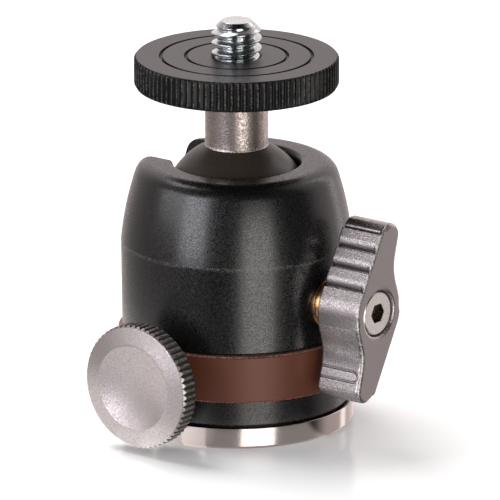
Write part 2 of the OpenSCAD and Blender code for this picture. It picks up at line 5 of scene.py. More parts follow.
import bmesh
import bpy
import numpy as np
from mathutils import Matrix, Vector


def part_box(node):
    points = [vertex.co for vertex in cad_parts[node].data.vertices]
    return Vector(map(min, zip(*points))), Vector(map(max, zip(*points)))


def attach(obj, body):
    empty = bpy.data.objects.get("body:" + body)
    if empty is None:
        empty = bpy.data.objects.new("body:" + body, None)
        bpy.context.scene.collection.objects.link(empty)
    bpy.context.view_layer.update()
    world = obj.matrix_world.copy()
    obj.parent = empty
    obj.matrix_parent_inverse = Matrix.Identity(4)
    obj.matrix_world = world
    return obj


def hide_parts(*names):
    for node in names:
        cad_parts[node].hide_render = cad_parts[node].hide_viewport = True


bl_info = {
    "name": "Tripod Ball Head",
    "version": (1, 0, 0),
    "blender": (4, 5, 0),
    "location": "3D View > Sidebar > Ball Head",
    "description": "Builds the visible surfaces and finishes of a tripod ball head",
    "category": "Add Mesh",
}

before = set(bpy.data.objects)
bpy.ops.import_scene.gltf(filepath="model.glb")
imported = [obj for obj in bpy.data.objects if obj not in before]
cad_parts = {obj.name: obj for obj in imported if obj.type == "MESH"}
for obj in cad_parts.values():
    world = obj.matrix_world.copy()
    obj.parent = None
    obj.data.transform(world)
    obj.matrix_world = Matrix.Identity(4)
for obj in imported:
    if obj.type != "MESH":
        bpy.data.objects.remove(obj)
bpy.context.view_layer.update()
MM = 0.001
TURN = 2 * math.pi
# Points closer than this, in millimetres, become one
JOINED = 0.0008

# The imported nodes' boxes in millimetres: lowest corner, highest corner
BOX = {name: np.array(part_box(name), float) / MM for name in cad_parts}
DISC_R, DISC_Z, DISC_TOP = BOX["lock_disc"][1, 0], *BOX["lock_disc"][:, 2]
STUD_R, STUD_TOP = 3.175, BOX["camera_screw"][1, 2]
STEM_R, STEM_Z = 4.0, 35.917
# The ball, the bore round its seats and the base's pan spigot
BALL_R, CHAMBER_R, SPIGOT_R = 9.5, 10.89, 7.96
BALL_Z = BOX["ball"][0, 2] + BALL_R
LOCK_Z = BOX["lock_bush"][:, 2].mean()
PAN_Z = BOX["pan_bush"][:, 2].mean()
LEVER_OUT, LEVER_IN = BOX["lock_lever"][1, 0], BOX["lock_lever"][0, 0]
# The circles (x, y, radius) that bound a wing of the lever, seen from outside
HUB, TIP, HEEL, HOLLOW = (0, 0, 4.5), (2.65, -9.5, 1.7), (1.5, -9.74, 1.0), (16.46, -5.6, 12.7)


def length(name, text, default, low, high):
    """A length property, given here in millimetres."""
    return bpy.props.FloatProperty(
        name=name, description=text, default=default * MM, min=low * MM, max=high * MM,
        subtype="DISTANCE", unit="LENGTH", precision=5,
    )


def linear(hex_colour):
    """The linear light of an sRGB hex colour, by the standard's two-piece curve."""
    codes = [int(hex_colour[i:i + 2], 16) / 255 for i in (1, 3, 5)]
    return tuple(c / 12.92 if c <= 0.04045 else ((c + 0.055) / 1.055) ** 2.4 for c in codes)


def paint(name, text, default):
    """A colour property, given here as an sRGB hex value and kept as linear light."""
    return bpy.props.FloatVectorProperty(
        name=name, description=text, default=linear(default), size=3,
        min=0.0, max=1.0, subtype="COLOR",
    )


class HeadSizes(bpy.types.PropertyGroup):
    """Sizes of the fine forms that this script adds."""

    disc_tooth: length("Disc tooth depth", "Depth of the disc's straight knurl", 0.28, 0.1, 0.4)
    disc_pitch: length("Disc tooth pitch", "Pitch of the disc's straight knurl", 0.83, 0.6, 1.5)
    knob_tooth: length("Knob tooth depth", "Depth of the knob's straight knurl", 0.3, 0.1, 0.4)
    knob_pitch: length("Knob tooth pitch", "Pitch of the knob's straight knurl", 0.81, 0.6, 1.5)
    thread_pitch: length("Thread pitch", "Pitch of the camera thread", 1.27, 1.0, 1.5)
    thread_depth: length("Thread depth", "Depth of the camera thread", 0.72, 0.4, 0.8)
    rib_depth: length("Rib depth", "Depth of the lever's finger grooves", 0.8, 0.2, 0.9)
    line_depth: length("Line depth", "Depth of the fine lines near the tips", 0.13, 0.05, 0.3)
    waist_depth: length("Waist depth", "Extra hollow between hub and tip", 0.3, 0.0, 0.4)


class HeadColours(bpy.types.PropertyGroup):
    """Colours of the head's finishes."""

    body: paint("Body", "Black anodising of the housing", "#0a0a0b")
    face: paint("Disc face", "Black anodising of the turned disc face", "#1a181c")
    band: paint("Band", "Brown anodising of the accent band", "#633626")
    ball: paint("Ball", "Dark anodising of the ball", "#3c332c")
    stem: paint("Stem", "Blasted aluminium of the stem and base", "#bfb3ae")
    lever: paint("Lever", "Grey anodising of the lever", "#bbb4b5")
    silver: paint("Silver", "Bare machined aluminium", "#c4bcbb")
    steel: paint("Steel", "Stainless steel of the screws", "#dde3e4")
    brass: paint("Brass", "Turned brass", "#d6a679")


# Meshes


def new_piece(name, points, faces):
    """A smooth mesh object from points in millimetres and quads."""
    mesh = bpy.data.meshes.new(name)
    mesh.from_pydata((points * MM).tolist(), [], faces.tolist())
    piece = bpy.data.objects.new(name, mesh)
    bpy.context.scene.collection.objects.link(piece)
    return close(piece)


def close(piece):
    """Joins points closer than JOINED, turns the faces out and smooths the normals."""
    work = bmesh.new()
    work.from_mesh(piece.data)
    bmesh.ops.remove_doubles(work, verts=work.verts, dist=JOINED * MM)
    bmesh.ops.dissolve_degenerate(work, edges=work.edges, dist=JOINED * MM / 4)
    bmesh.ops.recalc_face_normals(work, faces=work.faces)
    work.to_mesh(piece.data)
    work.free()
    return soften(piece)


def values(rows, key, kind=float):
    """A value of three parts, such as a place, of every row of a mesh's collection."""
    flat = np.empty(len(rows) * 3, kind)
    rows.foreach_get(key, flat)
    return flat.reshape(-1, 3)


def soften(piece):
    """Point normals as the sum of the neighbouring faces' normals, each weighted by its area.

    A wide flat then stays flat up to a narrow rounded edge, and the edge takes all the bend.
    """
    mesh = piece.data
    mesh.shade_smooth()
    mesh.calc_loop_triangles()
    corners = values(mesh.loop_triangles, "vertices", np.int32)
    co = values(mesh.vertices, "co") / MM
    a, b, c = (co[corners[:, i]] for i in range(3))
    across = np.cross(b - a, c - a)
    normals = np.zeros_like(co)
    for i in range(3):
        np.add.at(normals, corners[:, i], across)
    size = np.linalg.norm(normals, axis=1, keepdims=True)
    normals = np.where(size > 1e-12, normals / np.maximum(size, 1e-12), (0, 0, 1))
    mesh.normals_split_custom_set_from_vertices(normals.tolist())
    return piece


def grid_faces(rows, columns, closed=True, first=0):
    """The quads of a grid of points: closed joins the last column to the first."""
    i, j = np.meshgrid(
        np.arange(rows - 1), np.arange(columns if closed else columns - 1), indexing="ij"
    )
    k = (j + 1) % columns
    return first + np.stack(
        [i * columns + j, i * columns + k, (i + 1) * columns + k, (i + 1) * columns + j], -1
    ).reshape(-1, 4)


def fillet(corners, step=9):
    """A smooth profile through corners (radius, height, rounding).

    Each rounding is an arc that touches both sides: it starts rounding / tan(half the opening)
    from the corner, and its points turn by equal angles round the arc's centre.
    """
    rows = [np.array(corners[0][:2], float)]
    for a, b, c in zip(corners, corners[1:], corners[2:]):
        p, q, r = (np.array(t[:2], float) for t in (a, b, c))
        u, v = (p - q) / np.linalg.norm(p - q), (r - q) / np.linalg.norm(r - q)
        opening = math.acos(float(np.clip(u @ v, -1, 1)))
        if b[2] <= 0 or math.pi - opening < 1e-3:
            rows.append(q)
            continue
        reach = b[2] / math.tan(opening / 2)
        centre = q + (u + v) / np.linalg.norm(u + v) * b[2] / math.sin(opening / 2)
        start, end, bend = q + u * reach - centre, q + v * reach - centre, math.pi - opening
        t = np.linspace(0, 1, 1 + max(2, math.ceil(math.degrees(bend) / step)))[:, None]
        rows += list(
            centre + (np.sin((1 - t) * bend) * start + np.sin(t * bend) * end) / math.sin(bend)
        )
    rows.append(np.array(corners[-1][:2], float))
    return np.array(rows)


def finer(profile, step):
    """The same profile with extra points, so that none are more than step apart."""
    rows = [profile[:1]]
    for p, q in zip(profile, profile[1:]):
        n = max(1, math.ceil(float(np.linalg.norm(q - p)) / step))
        rows.append(p + (q - p) * np.arange(1, n + 1)[:, None] / n)
    return np.concatenate(rows)


def carried(name, radius, height, count, axis="up"):
    """A piece whose rows run round an axis: point = radius at the row's angle, height along it.

    radius and height hold one value for each row, or one for each row and angle.
    """
    angle = np.arange(count) / count * TURN
    radius = np.broadcast_to(radius, (len(radius), count))
    height = np.broadcast_to(height, radius.shape)
    points = np.stack([radius * np.cos(angle), radius * np.sin(angle), height], -1)
    return new_piece(name, AXES[axis](points.reshape(-1, 3)), grid_faces(len(radius), count))


def turned(name, profile, count, axis="up"):
    """A turned piece: each profile point (radius, height) is carried round its axis."""
    return carried(name, profile[:, :1], profile[:, 1:], count, axis)


def stacked(count, *parts):
    """Rows of count radii from parts, whose rows hold one radius or count of them."""
    return np.concatenate([np.broadcast_to(part, (len(part), count)) for part in parts])


AXES = {
    "up": lambda p: p,
    "pan": lambda p: np.c_[p[:, 0], -p[:, 2], p[:, 1] + PAN_Z],
    "lock": lambda p: np.c_[p[:, 2], p[:, 1], LOCK_Z - p[:, 0]],
}


def zigzag(turns):
    """0 at each whole number, and up to 1 halfway between two."""
    return np.abs((turns + 0.5) % 1 - 0.5) * 2


def place(piece, body, kinds, node):
    """Gives a finished piece its finishes and its body, and hides the CAD node that it replaces.
    """
    piece.data.materials.clear()
    for kind in kinds.split():
        piece.data.materials.append(finishes()[kind])
    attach(piece, body)
    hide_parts(node)


# Materials


def add(tree, kind, inputs=None, **settings):
    """Adds one shader node with its settings, and fills or links its inputs."""
    node = tree.nodes.new("ShaderNode" + kind)
    for key, value in settings.items():
        setattr(node, key, value)
    for key, value in (inputs or {}).items():
        if isinstance(value, bpy.types.NodeSocket):
            tree.links.new(value, node.inputs[key])
        else:
            node.inputs[key].default_value = value
    return node


def maths(tree, operation, *inputs):
    """The result of a Math node."""
    return add(tree, "Math", dict(enumerate(inputs)), operation=operation).outputs[0]


def ramp(tree, value, low, high, start=0.0, end=1.0, **settings):
    """A value's way from low to high, carried over to the way from start to end."""
    return add(tree, "MapRange", {"Value": value, "From Min": low, "From Max": high,
                                  "To Min": start, "To Max": end}, **settings).outputs[0]


def finish(key, name, base, rough, relief, tint, gloss, metal=0, ior=1.5, grain=0.2,
           rings=0.0, ring_relief=0.0, wear_and_highlight_colour=None):
    """A finish, kept under key, with a grain of that size in millimetres, relief its height.

    tint and gloss say how far the grain changes the colour and the roughness. rings is the
    distance in millimetres of tool marks round the upright axis, ring_relief their height.
    The worn colour stands for wear and for painted highlights on edges and crests; it shows in
    specks where the piece's wear and highlight attribute is high.
    """
    FINISHES[key] = material = bpy.data.materials.new(name)
    material.use_nodes = True
    tree = material.node_tree
    shader = tree.nodes["Principled BSDF"]
    spot = add(tree, "TexCoord").outputs["Object"]
    fine = add(tree, "TexNoise", {"Vector": spot, "Scale": 1 / (grain * MM),
                                  "Detail": 0.0}).outputs["Fac"]
    cell = add(tree, "VectorMath", {0: spot, 1: (0.6 * grain * MM,) * 3}, operation="SNAP")
    dot = add(tree, "TexWhiteNoise", {"Vector": cell.outputs[0]},
              noise_dimensions="3D").outputs["Value"]
    colour = add(tree, "Mix", {0: dot, 6: (*[c * (1 - tint) for c in base], 1),
                               7: (*[min(1, c * (1 + tint)) for c in base], 1)},
                 data_type="RGBA").outputs[2]
    spread = ramp(tree, dot, 0.0, 1.0, rough + gloss, max(0.02, rough - gloss))
    if wear_and_highlight_colour:
        # this attribute marks wear and painted highlights, whose colour comes in by speck
        edge = add(tree, "Attribute", attribute_name="wear_and_highlight").outputs["Fac"]
        share = maths(tree, "MULTIPLY", edge, ramp(tree, fine, 0.42, 0.62))
        colour = add(tree, "Mix", {0: share, 6: colour, 7: (*wear_and_highlight_colour, 1)},
                     data_type="RGBA").outputs[2]
        # the roughness of a speck of wear and painted highlight is 0.25 higher
        spread = maths(tree, "MULTIPLY_ADD", share, 0.25, spread)
    tree.links.new(colour, shader.inputs["Base Color"])
    tree.links.new(spread, shader.inputs["Roughness"])
    height = maths(tree, "MULTIPLY", fine, relief * MM)
    if rings:
        flat = add(tree, "VectorMath", {0: spot, 1: (1, 1, 0)}, operation="MULTIPLY")
        out = add(tree, "VectorMath", {0: flat.outputs[0]}, operation="LENGTH").outputs["Value"]
        wave = maths(tree, "SINE", maths(tree, "MULTIPLY", out, TURN / (rings * MM)))
        height = maths(tree, "MULTIPLY_ADD", wave, ring_relief * MM, height)
    bump = add(tree, "Bump", {"Height": height, "Distance": 1.0, "Strength": 1.0})
    tree.links.new(bump.outputs["Normal"], shader.inputs["Normal"])
    shader.inputs["Metallic"].default_value = metal
    shader.inputs["IOR"].default_value = ior


def wear_and_highlight(piece, near):
    """Writes how much wear and painted highlight each point takes, 0 to 1, as near says for its
    place in millimetres.
    """
    share = np.clip(near(values(piece.data.vertices, "co") / MM), 0, 1)
    piece.data.attributes.new("wear_and_highlight", "FLOAT", "POINT").data.foreach_set("value", share)


def split(piece, chosen):
    """Gives the second finish to the faces that chosen picks.

    chosen is given the faces' centres in millimetres and their normals.
    """
    faces = piece.data.polygons
    second = chosen(values(faces, "center") / MM, values(faces, "normal"))
    faces.foreach_set("material_index", second.astype(np.int32))


FINISHES = {}


def finishes():
    """Makes each finish once and returns them by name."""
    if FINISHES:
        return FINISHES
    hue = bpy.context.scene.ball_head_colours
    highlight_and_wear_grey = linear("#8d8a84")
    # Bead-blasted, black anodised aluminium: deep black with a soft sheen, broken by a fine
    # sparkle. Real beads leave dents of about 0.1 mm, drawn here at 0.2 mm so that they show.
    # its pale grey specks paint a highlight: a faint line on the corner between the housing's
    # crown and wall
    finish("body", "Black_blasted_anodising", hue.body, 0.30, 0.0045, 0.5, 0.13, ior=1.76,
           wear_and_highlight_colour=highlight_and_wear_grey)
    # The same anodising over a turned face: fine rings that drag the sheen across the disc
    finish("face", "Black_turned_anodising", hue.face, 0.39, 0.002, 0.1, 0.03, ior=1.76,
           rings=0.26, ring_relief=0.0022)
    # The same anodising on a knurl, with grey specks on the teeth's crests: wear, and a painted
    # highlight where the crests catch the light
    finish("knurl", "Black_knurled_anodising", hue.body, 0.36, 0.006, 0.3, 0.08, ior=1.4,
           wear_and_highlight_colour=highlight_and_wear_grey)
    # The turned collar: the same black, with a reddish line painted on its lower corner: a painted
    # highlight of that corner's chamfer
    finish("collar", "Black_collar_anodising", hue.body, 0.32, 0.006, 0.5, 0.11, ior=1.62,
           wear_and_highlight_colour=linear("#7a5a50"))
    # Brown anodised aluminium: a satin, slightly metallic brown, paler along its edges: wear, and
    # a painted highlight on their roundings
    finish("band", "Brown_satin_anodising", hue.band, 0.42, 0.002, 0.05, 0.03, metal=0.2, ior=1.5,
           wear_and_highlight_colour=linear("#b58a7a"))
    # Burnished ball under thin anodising: a warm, dark olive sheen
    finish("ball", "Dark_ball_anodising", hue.ball, 0.38, 0.003, 0.2, 0.06, ior=1.6)
    # Grey anodised, bead-blasted aluminium: pale grain on a soft metal sheen, with bright specks
    # painted
    # along the rounded edge by the flat face: a painted highlight of that edge, and some wear
    finish("lever", "Grey_blasted_anodising", hue.lever, 0.36, 0.016, 0.3, 0.10, metal=1,
           wear_and_highlight_colour=linear("#f6f2f0"))
    # The same anodising over the lever's machined flat face: even, with hardly any grain
    finish("flat", "Grey_machined_anodising", hue.lever, 0.40, 0.002, 0.04, 0.02, metal=1)
    # Bare aluminium, finely blasted: a pale, soft metal with a light grain
    finish("silver", "Blasted_aluminium", hue.silver, 0.42, 0.012, 0.14, 0.10, metal=1)
    # The stem's aluminium: blasted more coarsely, slightly warm, with a bright line painted round
    # its foot: a painted highlight of the edge above the ball
    finish("stem", "Warm_blasted_aluminium", hue.stem, 0.42, 0.022, 0.35, 0.12, metal=1,
           wear_and_highlight_colour=linear("#fffaf4"))
    # Polished aluminium: a near mirror that shows the floor and the dark room in bands
    finish("polish", "Polished_aluminium", hue.stem, 0.15, 0.001, 0.02, 0.015, metal=1)
    # Stainless steel: bright, cool and slightly mottled, as a plated thread is
    finish("steel", "Machined_stainless", hue.steel, 0.19, 0.012, 0.08, 0.06, metal=1, grain=0.35)
    # The lever screw's head: stainless steel, finely blasted to an even, pale grey
    finish("head", "Blasted_stainless", linear("#fbf6f1"), 0.32, 0.006, 0.1, 0.06, metal=1)
    # Oil-dark steel inside the screw's socket: rough, brownish and blotched
    finish("socket", "Dark_broached_steel", linear("#8f8470"), 0.35, 0.05, 0.5, 0.1, metal=1,
           grain=0.5)
    # The knob's knurl: thinner anodising, a warm dark grey between black gaps
    finish("knob", "Grey_knurled_anodising", linear("#35302d"), 0.36, 0.003, 0.15, 0.04, ior=1.5,
           wear_and_highlight_colour=linear("#8a8580"))
    # Turned brass, a little dulled: a warm line beside the black
    finish("brass", "Turned_brass", hue.brass, 0.28, 0.002, 0.05, 0.05, metal=1, grain=0.3)
    # Blackened spring steel: a dark, oily glint
    finish("spring", "Blackened_spring_steel", linear("#2c2d30"), 0.35, 0.003, 0.06, 0.03, metal=1,
           grain=0.3)
    # Acetal of the seats and washers: a matt, creamy or black plastic without visible grain
    finish("acetal", "Natural_acetal", linear("#e9e5d8"), 0.4, 0.002, 0.02, 0.03, ior=1.48,
           grain=0.5)
    finish("black_acetal", "Black_acetal", linear("#1b1b1b"), 0.4, 0.002, 0.05, 0.03, ior=1.48,
           grain=0.5)
    return FINISHES


# Pieces


class BALLHEAD_OT_stud(bpy.types.Operator):
    """Camera stud: the thread's radius rises and falls along a helix."""

    bl_idname = "ballhead.stud"
    bl_label = "Camera Stud"

    def execute(self, context):
        size = context.scene.ball_head_sizes
        pitch, depth = size.thread_pitch / MM, size.thread_depth / MM
        count, core_r, end_r, dip = 144, 2.93, STUD_R - 1.25, 0.18
        low = DISC_Z - 5
        # where the photo shows a crest: its height, and its share of a turn
        crest_z, crest_turn = 48.03, 217.5 / 360
        z = np.arange(DISC_TOP - 0.15, STUD_TOP, 0.045)[:, None]
        angle = (np.arange(count) / count)[None, :]
        # a 60-degree thread: one crest for each pitch, with crest and root rounded off
        wave = zigzag((z - crest_z) / pitch - (angle - crest_turn))
        flank = np.clip((wave - 0.11) / 0.66, 0, 1)
        flank = flank * flank * (3 - 2 * flank) * 0.35 + flank * 0.65
        radius = np.minimum(STUD_R - depth * flank, end_r + (STUD_TOP - z) * 1.02)
        foot = np.clip((z - DISC_TOP) / 0.3, 0, 1)
        radius = np.minimum(radius, core_r * (1 - foot) + STUD_R * foot)
        # the tip is a narrow rim round a shallow dish, part of a sphere
        sphere = (end_r ** 2 + dip ** 2) / (2 * dip)
        top_r = np.array([end_r, end_r - 0.06, end_r - 0.12, 1.4, 1.0, 0.5, 0.0])
        top_z = STUD_TOP - dip + sphere - np.sqrt(sphere ** 2 - np.minimum(top_r, 1.8) ** 2)
        top_z[:3] = STUD_TOP - 0.02, STUD_TOP, STUD_TOP - 0.01
        radii = stacked(count, [[0], [core_r], [core_r]], radius, top_r[:, None])
        rows = np.r_[low, low, DISC_TOP - 0.16, z[:, 0], top_z]
        stud = carried("Camera_stud", radii, rows[:, None], count)
        place(stud, "stem", "steel", "camera_screw")
        return {"FINISHED"}


def knurled(radius, pitch, depth, outer, per_tooth, land, curve):
    """Radii cut back to straight teeth round the axis, and their number of columns.

    A tooth keeps the full radius over its land. Its flanks fall to depth at the middle of the
    gap, by the way from the land to that power: a power above 1 narrows the gap.
    """
    count = round(TURN * outer / pitch) * per_tooth
    at = zigzag(np.arange(count) / per_tooth)
    fall = np.clip((at - land) / (1 - land), 0, 1)
    tooth = outer - depth * fall ** curve
    return np.minimum(radius[:, None], tooth[None, :]), count


class BALLHEAD_OT_disc(bpy.types.Operator):
    """Platform disc: straight teeth round the edge and two fine rings in the turned face."""

    bl_idname = "ballhead.disc"
    bl_label = "Platform Disc"

    def execute(self, context):
        size = context.scene.ball_head_sizes
        bore, rings, deep = 2.97, [], 0.35
        for r in (9.6, 6.45):
            rings += [(r + 0.22, DISC_TOP, 0.04), (r + 0.17, DISC_TOP - deep, 0.03),
                      (r - 0.17, DISC_TOP - deep, 0.03), (r - 0.22, DISC_TOP, 0.04)]
        profile = finer(fillet([
            (bore, DISC_Z, 0), (DISC_R - 1.1, DISC_Z, 0), (DISC_R - 0.3, DISC_Z, 0.1),
            (DISC_R + 0.3, DISC_Z + 0.5, 0), (DISC_R + 0.3, DISC_TOP - 0.3, 0),
            (DISC_R - 0.3, DISC_TOP, 0.1), (DISC_R - 1.1, DISC_TOP, 0), *rings,
            (3.3, DISC_TOP, 0), (bore, DISC_TOP - 0.2, 0), (bore, DISC_Z, 0)], 15), 0.9)
        radius, count = knurled(profile[:, 0], size.disc_pitch / MM, size.disc_tooth / MM,
                                outer=DISC_R, per_tooth=10, land=0.1, curve=0.9)
        disc = carried("Platform_disc", radius, profile[:, 1:], count)
        place(disc, "disc", "knurl face", "lock_disc")
        split(disc, lambda at, _: (at[:, 2] > DISC_TOP - 0.03)
              & (np.hypot(at[:, 0], at[:, 1]) < DISC_R - 0.3))
        # grey specks on the teeth's outer crests: wear, and a painted highlight where they catch
        # the light
        wear_and_highlight(disc, lambda p: 0.45 * (np.hypot(p[:, 0], p[:, 1]) - DISC_R + 0.06) / 0.06)
        return {"FINISHED"}


class BALLHEAD_OT_ball(bpy.types.Operator):
    """Ball and stem: a sphere with a seat for the stem, and the turned stem with its tenon."""

    bl_idname = "ballhead.ball"
    bl_label = "Ball and Stem"

    def execute(self, context):
        top = math.asin(STEM_R / BALL_R)
        t = np.linspace(math.pi, top, 96)
        sphere = np.c_[BALL_R * np.sin(t), BALL_Z + BALL_R * np.cos(t)]
        seat = [[3.2, STEM_Z], [3.0, STEM_Z - 0.2], [3.0, STEM_Z - 7.6], [0, STEM_Z - 7.6]]
        ball = turned("Ball", np.r_[sphere, seat], 160)
        place(ball, "ball", "ball", "ball")
        profile = fillet([(0, STEM_Z - 7.4, 0), (2.9, STEM_Z - 7.4, 0.1), (2.9, STEM_Z, 0.02),
                          (STEM_R + 0.07, STEM_Z, 0.01), (STEM_R, STEM_Z + 0.25, 0.03),
                          (STEM_R, DISC_Z - 0.02, 0.05), (2.96, DISC_Z - 0.02, 0.02),
                          (2.96, DISC_Z - 4.9, 0.02), (0, DISC_Z - 4.9, 0)])
        stem = turned("Stem", finer(profile, 0.8), 128)
        # painted highlight: a bright line round the stem's foot, where it meets the ball
        wear_and_highlight(stem, lambda p: (STEM_Z + 0.3 - p[:, 2]) / 0.1)
        place(stem, "stem", "stem", "stem")
        return {"FINISHED"}


class BALLHEAD_OT_housing(bpy.types.Operator):
    """Housing: a turned shell with a drop notch.

    Rows follow the shell's profile and columns run round it. Beside the notch the columns stop
    at a plane 6.4 mm from its middle. From there the rows close in on the notch's own outline, a
    slot with a round bottom, and turn over its edge on a small curve into the notch's wall. A
    faint grey line is painted on the corner that the crown makes with the straight wall: a
    painted highlight along that corner.
    """

    bl_idname = "ballhead.housing"
    bl_label = "Housing"

    def execute(self, context):
        # half the notch's width, half the width with its margins, and its edge's rounding
        notch, margin, lip = 5.0, 6.4, 0.22
        # the crown is an arc round centre, which meets the shoulder's arc at meet
        centre, arc_r, edge_z, top_z = np.array([-27.1026, 19.5332]), 42.0, 23.6, 33.8
        seat_r, seat_z, shoulder_r, meet = 10.4, 31.4, 2.4, (12.9672, 32.1192)
        shoulder, mouth_r = np.array([10.6775, seat_z]), 8.1
        wall_z, wall_low_r, wall_r, base_z, notch_z = 12.49, 14.55, 14.7, 20.4, 27.037
        arc = lambda middle, r, a, b, n: middle + r * np.stack(
            [np.cos(np.linspace(a, b, n)), np.sin(np.linspace(a, b, n))], -1)
        start = math.atan2(meet[1] - centre[1], meet[0] - centre[0])
        at_notch = math.asin((notch_z - centre[1]) / arc_r)
        at_edge = math.atan2(edge_z - centre[1], wall_r - centre[0])
        upper = np.r_[
            finer(np.array([[mouth_r + 0.35, top_z], [shoulder[0] - 0.05, top_z]]), 0.35),
            arc(shoulder, shoulder_r, math.pi / 2, start, 14),
            arc(centre, arc_r, start, at_notch, 18)[1:]]
        z = np.linspace(edge_z - 0.06, base_z, 10)
        wall = np.c_[np.interp(z, [wall_z, edge_z], [wall_low_r, wall_r]), z]
        lower = np.r_[arc(centre, arc_r, at_notch, at_edge, 14)[1:], wall]
        k_top, k_low = len(upper), len(lower)
        ball_gap = BALL_R + 0.15
        path = np.r_[
            [[mouth_r + 0.35, top_z], [mouth_r, top_z - 0.35]],
            arc(np.array([0, BALL_Z]), ball_gap, math.acos(mouth_r / ball_gap),
                math.asin(4.1 / ball_gap), 5),
            [[seat_r, seat_z], [seat_r, BALL_Z], [CHAMBER_R, BALL_Z - 0.01], [CHAMBER_R, notch_z]]]
        # the rows at which the inner skin has its corners, since both skins have as many rows
        keys = np.array([0, 1, 3, 4, 5, 6, 7, 9, k_top - 3, k_top - 2, k_top - 1], float)
        inner_top = np.stack([np.interp(np.arange(k_top), keys, path[:, i]) for i in (0, 1)], -1)
        inner_low = np.c_[np.full(k_low, CHAMBER_R), lower[:, 1]]
        outer_rows = np.r_[upper, lower]
        inner_rows = np.r_[inner_top, inner_low]
        # below the notch the shell is whole, and its spigot ends above the brake pad
        over_pad, low_z, plate_z = PAN_Z + 1.8, BOX["accent_band"][1, 2], 13.2
        neck_r, spigot_r, thread_r = 14.05, 13.55, 12.0
        tail = finer(fillet([
            (wall[-1, 0], base_z, 0), (wall_low_r, 12.5, 0.1), (neck_r, 12.32, 0.03),
            (neck_r, low_z, 0.02), (spigot_r, low_z, 0.02), (spigot_r, over_pad, 0.1),
            (thread_r, over_pad, 0.1), (thread_r, plate_z, 0.02), (CHAMBER_R, plate_z, 0.02),
            (CHAMBER_R, base_z, 0)], 15), 0.8)
        count, across = 168, 24
        parts, faces, total = [], [], 0

        def patch(points, closed=False):
            """Adds a grid of points to the shell."""
            nonlocal total
            parts.append(points.reshape(-1, 3))
            faces.append(grid_faces(*points.shape[:2], closed, total))
            total += len(parts[-1])

        def around(rows, closed):
            """Rows carried round the axis, from one side of the notch's margin to the other."""
            r, z = rows[:, :1], rows[:, 1:]
            half = np.arcsin(margin / r)
            angle = half + np.linspace(0, 1, count) * (TURN - 2 * half)
            if closed:
                y = np.linspace(-margin, margin, across + 1)[1:-1]
                angle = np.concatenate([angle, TURN + np.arcsin(y / r)], 1)
            return np.stack([-r * np.cos(angle), r * np.sin(angle),
                             np.broadcast_to(z, angle.shape)], -1)

        def border(rows, half):
            """The notch's outline, or the margin's, on a set of rows, down one side and up the
            other: straight down to the slot's centre height, and then round its bottom."""
            low = rows[k_top:, 1]
            y = np.linspace(margin, 0, across // 2 + 1)[1:]
            turn_of = np.r_[np.arctan2(notch_z - low, margin), np.arctan2(notch_z - base_z, y)]
            square_y = np.r_[np.full(k_low, margin), y]
            square_z = np.r_[low, np.full(len(y), base_z)]
            share = (half - notch) / (margin - notch)
            round_y = notch * np.cos(turn_of)
            round_z = notch_z - notch * np.sin(turn_of)
            low_y = round_y + (square_y - round_y) * share
            low = round_z + (square_z - round_z) * share
            low_r = np.full(len(low), CHAMBER_R)
            if rows is outer_rows:
                low_r = np.interp(-low, -rows[:, 1], rows[:, 0])
            ys = np.r_[np.full(k_top, half), low_y]
            zs = np.r_[rows[:k_top, 1], low]
            rs = np.r_[rows[:k_top, 0], low_r]
            side = np.c_[-np.sqrt(rs ** 2 - ys ** 2), ys, zs]
            return np.r_[side, side[-2::-1] * np.array([1, -1, 1])]

        patch(around(outer_rows, False))
        patch(around(inner_rows, False))
        patch(around(tail, True), True)
        # columns beside the notch, closer together near its edge
        near_by = notch + lip
        widths = near_by + (margin - near_by) * np.linspace(0, 1, 7) ** 1.3
        patch(np.stack([border(outer_rows, w) for w in widths], 1))
        patch(np.stack([border(inner_rows, w) for w in np.linspace(notch, margin, 5)], 1))
        corner, inside = border(outer_rows, notch), border(inner_rows, notch)
        inward = inside - corner
        reach = np.linalg.norm(inward, axis=1, keepdims=True)
        inward = inward / np.maximum(reach, 1e-9)
        near = border(outer_rows, near_by)
        deep = corner + inward * np.minimum(lip, reach * 0.5)
        t = np.linspace(0, 1, 6)[None, :, None]
        patch((1 - t) ** 2 * near[:, None] + 2 * t * (1 - t) * corner[:, None]
              + t * t * deep[:, None])
        s = np.linspace(0, 1, 7)[None, :, None]
        patch(deep[:, None] * (1 - s) + inside[:, None] * s)
        shell = new_piece("Housing", np.concatenate(parts), np.concatenate(faces))
        # painted highlight: a faint grey line round the corner at the crown's lower edge
        wear_and_highlight(shell, lambda p: 0.3 * np.exp(-((p[:, 2] - edge_z) / 0.08) ** 2))
        place(shell, "housing", "body", "housing")
        return {"FINISHED"}


